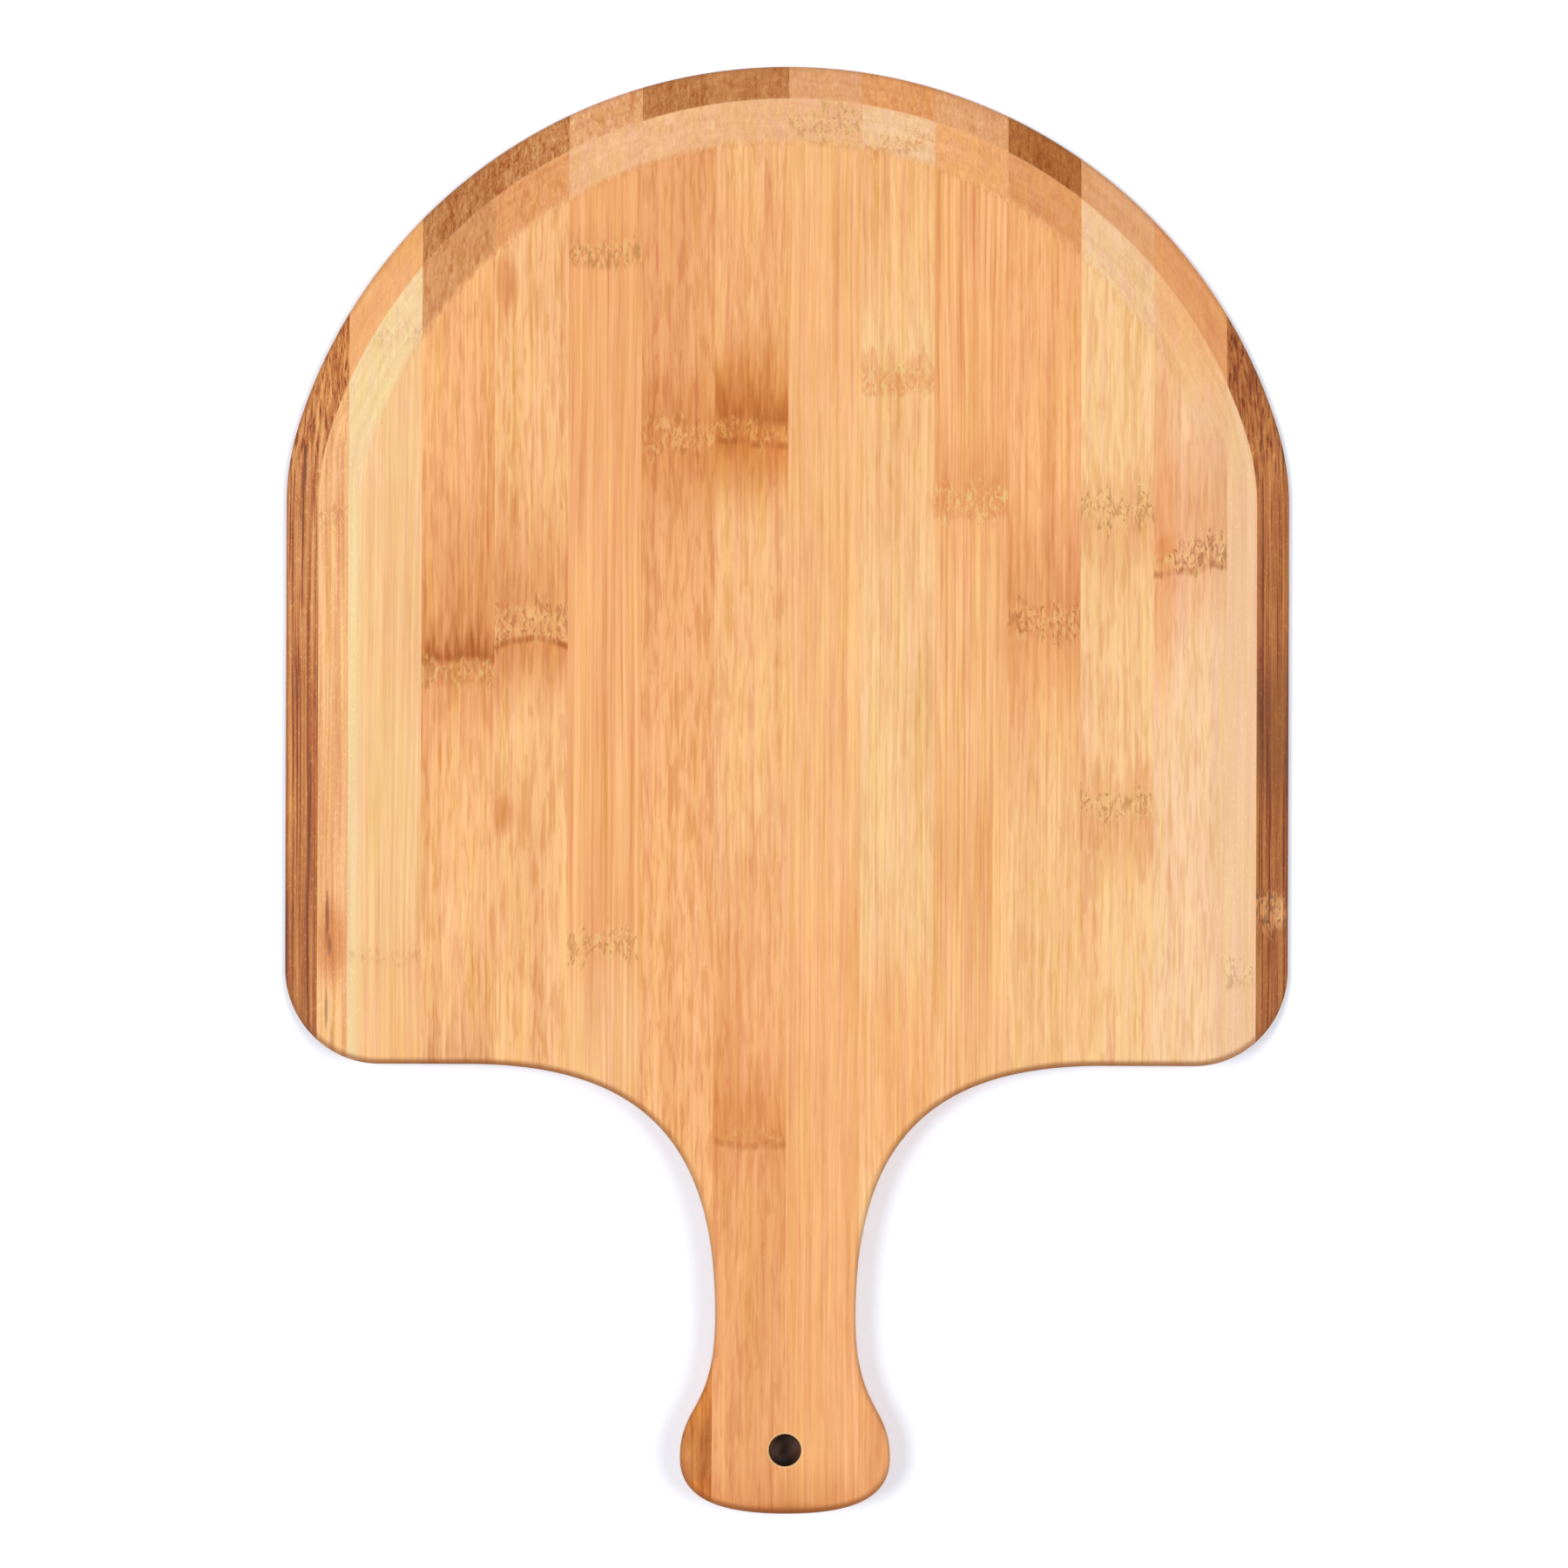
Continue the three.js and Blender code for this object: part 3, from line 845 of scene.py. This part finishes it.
topStrips = {  # looks of the upper layer, from left to right
    1: strip(
        "peach", "honey", "honey", lines=1.4, veins=0.8, inner=1.1,
        knuckles=(knuckleAt(82.4, height=5),),
        spots=(
            (-135.5, -10, 9, 70, 0.1, "amber"), (-136, -46, 12, 36, 1, "toast"),
            (-137.3, -38, 1.5, 22, 0.7, "umber"), (-136.6, -47, 1.8, 9, 0.6, "umber"),
            (-137.5, -66, 1.4, 18, 0.6, "umber"), (-135.9, -77, 1.6, 20, 0.4, "umber"),
        ),
    ),
    2: strip(
        "straw", "honey", "cream", turn=-60, spread=25, streaks=0.5, lines=0.8, flecks=0, ink="chestnut",
        knuckles=(knuckleAt(-50.4, height=4), knuckleAt(135.8, height=5, strokes=0.5)),
    ),
    3: strip(
        "peach", "honey", "rust", inner=1, turn=10, spread=20, lines=1.1, flecks=0.9, ink="olive",
        knuckles=(knuckleAt(33.5, strokes=0.9, line=0, scorch=1.2, warm=0.92, warmReach=70, blush=0.55),),
        spots=(
            (-98.4, -84, 60, 40, 0.7, "clay"), (-98.4, -5, 80, 70, 0.5, "peach"),
            (-106, 92, 12, 60, 0.7, "amber"),
        ),
    ),
    4: strip(
        "honey", "honey", "amber", inner=0.8, lines=0.75, flecks=0.95, ink="bark",
        knuckles=(
            knuckleAt(48.7, height=11, strokes=0.8, line=1, scorch=0.1, warm=0.7, warmReach=45, blush=1),
        ),
        spots=((-84.6, 150, 9, 28, 0.9, "toast"), (-85.5, -7.4, 11, 18, 0.9, "toast")),
    ),
    5: strip(
        "apricot", "peach", "sand", turn=165, spread=50, lines=1.1, veins=0.6, flecks=0.1, ink="olive",
        knuckles=(
            knuckleAt(159.8, strokes=0.9, line=0.05, scorch=0.05, warm=0.3, warmReach=8),
            knuckleAt(-47.3, height=9, strokes=0.85, line=0.05),
        ),
        spots=((-54.7, -75, 44, 70, 0.7, "flax"),),
    ),
    6: strip(
        "amber", "peach", "sand", turn=60, spread=60, flecks=1.05, lines=0.6, stain="ember",
        knuckles=(
            knuckleAt(104.6, height=10, strokes=0.7, scorch=0.15, warm=0.45, warmReach=24, blush=0.5),
        ),
    ),
    7: strip(
        "honey", "apricot", "sand", turn=-50, spread=40, flecks=0.8, lines=0.6, stain="ember", ink="bark",
        knuckles=(
            knuckleAt(106, height=7, line=0.75, scorch=0.82, scorchReach=15, warm=0.9, warmReach=43,
                      blush=0.9),
            knuckleAt(-103.3, height=5, strokes=0.3, line=0.5, warm=0.5, warmReach=24, blush=0.1),
        ),
        spots=(
            (-11, 160, 80, 60, 0.5, "apricot"), (-18, 104.5, 9, 16, 0.4, "scorch"),
            (-12, -165, 90, 150, 0.5, "amber"), (-12, -225, 90, 60, 0.9, "toast"),
            # the bark band across the handle's end is painted shade on its rounded edge
            (0, -219.5, 76, 16, 0.8, "bark"),
        ),
    ),
    8: strip(
        "honey", "peach", "sand", turn=-70, spread=60, streaks=0.6, lines=0.85, veins=0.4, flecks=0.28,
        vessels=0.6, ink="olive",
        knuckles=(knuckleAt(199.2, strokes=0.7, line=0),),
        spots=(
            (12, -226, 90, 60, 0.9, "toast"), (12, -55, 60, 80, 0.8, "peach"),
            # the first spot here, a bark band across the handle's end, is painted shade on its rounded edge
            (0, -219.5, 76, 16, 0.8, "bark"), (11, 150, 60, 80, 0.6, "peach"),
        ),
    ),
    9: strip(
        "honey", "straw", "blush", turn=150, spread=20, streaks=0.6, lines=1, flecks=0.5, ink="toast",
        knuckles=(
            knuckleAt(121.5, strokes=1.1, line=0, warm=0.5, warmReach=4),
            knuckleAt(191.8, height=6, strokes=1),
        ),
        spots=((32.8, -88, 60, 110, 0.9, "peach"), (32.8, 100, 90, 80, 0.6, "honey")),
    ),
    10: strip(
        "peach", "honey", "peach", turn=70, spread=20, lines=1.4, veins=0.5, flecks=0.25, ink="toast",
        knuckles=(knuckleAt(85.8, height=10, strokes=1.2, line=0.05, warm=0.45, warmReach=18),),
    ),
    11: strip(
        "peach", "flax", "amber", turn=20, spread=35, flecks=0.6, ink="bark",
        knuckles=(knuckleAt(50.7, height=9, strokes=0.8, scorch=0.1, warm=0.7, warmReach=52, blush=0.5),),
    ),
    12: strip(
        "straw", "straw", "blush", streaks=0.5, lines=0.55, flecks=0.75, ink="olive",
        knuckles=(
            knuckleAt(84.2, height=11, strokes=1, line=0.05, warm=0.35, warmReach=10, blush=0.4),
            knuckleAt(-4.8, height=9, strokes=1, warm=0.45, warmReach=12, blush=0.5),
        ),
        spots=((91, -52, 14, 60, 0.6, "honey"),),
    ),
    13: strip(
        "blush", streaks=0.4, lines=0.4, flecks=0.7, ink="bark",
        knuckles=(knuckleAt(70.7, height=9, strokes=1.1, line=0.7, warm=0.55, warmReach=58, blush=0.4),),
        spots=(
            (124, 152, 60, 100, 1, "honey"), (111.5, 72, 14, 140, 0.65, "apricot"),
            (113, 72, 9, 16, 0.5, "ember"),
        ),
    ),
    14: strip(
        "blush", flecks=0.2, lines=0.7, ink="olive", pale="cream",
        knuckles=(knuckleAt(-56, height=7, strokes=0.7),),
    ),
}
bottomStrips = {  # looks of the lower layer, which shows on the outer half of the bevel and underneath
    1: strip(
        "copper", lines=1.6, flecks=0.4, veins=2.4, hues=0.3, inner=2.4,
        spots=((-145, -70, 40, 180, 0.7, "walnut"), (-143, 75, 40, 110, 0.5, "rust")),
    ),
    2: strip(
        "peach",
        knuckles=(knuckleAt(66), knuckleAt(-61, height=6)),
    ),
    3: strip(
        "chestnut", flecks=0.6, veins=0.8, hues=0.4, inner=2.2, ink="umber", pale="rust",
        knuckles=(knuckleAt(-22, height=7, strokes=0.7, line=0.5, scorch=0.3),),
    ),
    4: strip(
        "chestnut", "rust", "chestnut", flecks=0.5, veins=0.8, hues=0.4, inner=2.2, ink="umber",
        pale="rust",
        knuckles=(knuckleAt(94, strokes=0.7, line=0.4, scorch=0.2),),
        spots=((-76.5, 190, 60, 70, 0.45, "rust"),),
    ),
    5: strip(
        "clay", "amber", "clay", inner=1.4,
        knuckles=(knuckleAt(18, height=9, strokes=0.7, line=0.3, scorch=0.2, warm=0.5, warmReach=30),),
    ),
    6: strip(
        "chestnut", flecks=0.5, hues=0.4, inner=1.8, ink="umber", pale="rust",
        knuckles=(knuckleAt(127, strokes=0.7, line=0.4), knuckleAt(-58, height=7, line=0.5)),
    ),
    7: strip(
        "chestnut", flecks=0.4, hues=0.4, inner=1.4, ink="umber", pale="rust",
        knuckles=(knuckleAt(43, strokes=0.7, line=0.5, scorch=0.3), knuckleAt(-151, height=7, line=0.4)),
        spots=((-11, 211, 60, 60, 0.25, "rust"),),
    ),
    8: strip(
        "clay", "honey", "clay", inner=0.7, vessels=0.7,
        knuckles=(
            knuckleAt(112, height=9, strokes=0.7, line=0.2, scorch=0.1, warm=0.4),
            knuckleAt(-92, height=7, strokes=0.7, line=0.3),
        ),
    ),
    9: strip(
        "amber", inner=0.9,
        knuckles=(knuckleAt(4, strokes=0.7, line=0.4, scorch=0.3, warm=0.5, warmReach=30),),
    ),
    10: strip(
        "clay", "peach", "clay", inner=0.9,
        knuckles=(knuckleAt(138, strokes=0.7, line=0.2), knuckleAt(-40, height=7)),
    ),
    11: strip(
        "walnut", flecks=0.5, hues=0.4, inner=1.9, ink="umber", pale="rust",
        knuckles=(knuckleAt(61, height=9, strokes=0.7, line=0.4),),
    ),
    12: strip(
        "clay", "honey", "clay",
        knuckles=(knuckleAt(-33, strokes=0.7, line=0.3, scorch=0.2, warm=0.4),),
    ),
    13: strip(
        "amber",
        knuckles=(knuckleAt(28, strokes=0.7, line=0.2),),
    ),
    14: strip(
        "walnut", lines=1.6, flecks=0.4, veins=2.4, hues=0.3, inner=2.4, ink="umber", pale="amber",
        knuckles=(knuckleAt(-37.4, height=10, strokes=1, line=0.2),),
        spots=(
            (140, 75, 40, 110, 0.5, "copper"), (146, 15, 40, 260, 0.25, "bark"),
            (146, 17, 40, 66, 0.85, "bark"), (146, 18, 40, 50, 0.25, "umber"),
            (146, -36, 12, 14, 1, "rust"),
        ),
    ),
}
cheeks = {  # looks of the offcuts glued on beside the knob
    ("top", 6): strip(
        "ember", flecks=1.4, stain="chestnut", ink="bark",
        knuckles=(knuckleAt(-199.5, height=12, strokes=0.15, line=0, scorch=0.3, warm=0.5, warmReach=14),),
        spots=((-23.5, -200, 8, 34, 0.6, "scorch"),),
    ),
    ("top", 9): strip("amber", flecks=0.5),
    ("bottom", 6): strip("rust"),
    ("bottom", 9): strip("amber"),
}

sideCount = len(topStrips) // 2  # strips on each side of the middle
cheekSeed = 40  # keeps the cheeks' grain apart from the strips'


def addLayer(layer, looks):
    for number, look in looks.items():
        mirrored = number <= sideCount
        order = sideCount - number if mirrored else number - sideCount - 1
        seed = number if layer == "top" else number + len(looks)
        node = f"{layer}_strip_{number:02d}"
        material = bambooMaterial(node + "_finish", look, layer, seed, holeWall=order == 0)
        addPiece(node, layer, stripGrid(order, layer), mirrored, material)


def addCheeks():
    for (layer, number), look in cheeks.items():
        node = f"{layer}_knob_cheek_{number:02d}"
        material = bambooMaterial(node + "_finish", look, layer, number + cheekSeed, holeWall=False)
        grid = lensGrid(stripWidth, halfWidth, endY, waistY)
        addPiece(node, layer, grid, number <= sideCount, material)


addLayer("top", topStrips)
addLayer("bottom", bottomStrips)
addCheeks()

# Floor, light and camera

studio = {
    "floorSize": 40.0,  # metres
    "floorColour": (0.86, 0.893, 0.99, 1.0),
    "floorShade": (0.2, 0.08, 0.04, 1.0),  # painted shade on the floor where the board shuts it in
    "floorLift": 0.262,  # makes the lit floor white for the camera
    "liftColour": (0.88, 0.94, 1.0, 1.0),
    "floorOpen": (0.012, 0.2, 0.4),  # metres to what shuts it in, and shares of open sky that count
    "fill": 0.3,
    "sunStrength": {-1: 1.6, 1: 1.24},  # left and right
    "sunHeight": 54.0,  # degrees above the floor
    "sunTurn": 92.0,  # degrees to each side of the board's front
    "sunSpread": 28.0,
}


def addFloor():
    # flat grid of one cell, centred under the board
    side = studio["floorSize"] / 2
    mesh = bpy.data.meshes.new("floor")
    corners = [(-side, -side, 0), (side, -side, 0), (side, side, 0), (-side, side, 0)]
    mesh.from_pydata(corners, [], [(0, 1, 2, 3)])
    floor = bpy.data.objects.new("floor", mesh)
    bpy.context.scene.collection.objects.link(floor)
    material = bpy.data.materials.new("pale floor")
    material.use_nodes = True
    tree = material.node_tree
    tree.nodes.clear()
    reach, shut, bare = studio["floorOpen"]
    sky = tree.nodes.new("ShaderNodeAmbientOcclusion")
    sky.inputs["Distance"].default_value = reach
    openness = fade(tree, sky.outputs["AO"], shut, bare)
    paper = tree.nodes.new("ShaderNodeBsdfDiffuse")
    # painted shade: the floor turns dark brown where the board shuts it in, as in the hole
    wire(tree, paper.inputs["Color"], tint(tree, openness, studio["floorShade"], studio["floorColour"]))
    lift = tree.nodes.new("ShaderNodeEmission")
    lift.inputs["Color"].default_value = studio["liftColour"]
    light = tree.nodes.new("ShaderNodeLightPath")
    seen = total(tree, light.outputs["Is Camera Ray"], light.outputs["Is Glossy Ray"],
                 light.outputs["Is Transmission Ray"])
    lifted = calc(tree, "MULTIPLY", openness, studio["floorLift"])
    wire(tree, lift.inputs["Strength"], calc(tree, "MULTIPLY", seen, lifted))
    both = tree.nodes.new("ShaderNodeAddShader")
    wire(tree, both.inputs[0], paper.outputs[0])
    wire(tree, both.inputs[1], lift.outputs[0])
    wire(tree, tree.nodes.new("ShaderNodeOutputMaterial").inputs["Surface"], both.outputs[0])
    mesh.materials.append(material)


def addLights():
    for side in (-1, 1):
        lamp = bpy.data.lights.new("softbox", "SUN")
        lamp.energy = studio["sunStrength"][side]
        lamp.angle = math.radians(studio["sunSpread"])
        softbox = bpy.data.objects.new("softbox", lamp)
        softbox.rotation_euler = (
            -math.radians(90 - studio["sunHeight"]), 0, -side * math.radians(studio["sunTurn"]))
        bpy.context.scene.collection.objects.link(softbox)
    world = bpy.data.worlds.new("studio")
    world.use_nodes = True
    tree = world.node_tree
    tree.nodes.clear()
    light = tree.nodes.new("ShaderNodeLightPath")
    seen = calc(tree, "MINIMUM", total(tree, light.outputs["Is Camera Ray"], light.outputs["Is Glossy Ray"],
                                       light.outputs["Is Transmission Ray"]), 1.0)
    back = tree.nodes.new("ShaderNodeBackground")
    wire(tree, back.inputs["Strength"], fade(tree, seen, 0.0, 1.0, studio["fill"], 1.0))
    wire(tree, tree.nodes.new("ShaderNodeOutputWorld").inputs["Surface"], back.outputs[0])
    bpy.context.scene.world = world


view = {
    "distance": 5000.0,  # millimetres above the board
    "span": 468.75,  # width of the board's plane that fills the frame
    "centre": (-0.9, 1.7),
    "roll": 0.18,  # degrees
}


def addCamera():
    data = bpy.data.cameras.new("camera")
    data.lens = data.sensor_width * view["distance"] / view["span"]
    camera = bpy.data.objects.new("camera", data)
    camera.location = (view["centre"][0] * mm, view["centre"][1] * mm, (glueZ + view["distance"]) * mm)
    camera.rotation_euler = (0, 0, math.radians(view["roll"]))
    bpy.context.scene.collection.objects.link(camera)
    bpy.context.scene.camera = camera


addFloor()
addLights()
addCamera()
bpy.context.scene.view_settings.view_transform = "Standard"
print("floor, lights and camera placed")
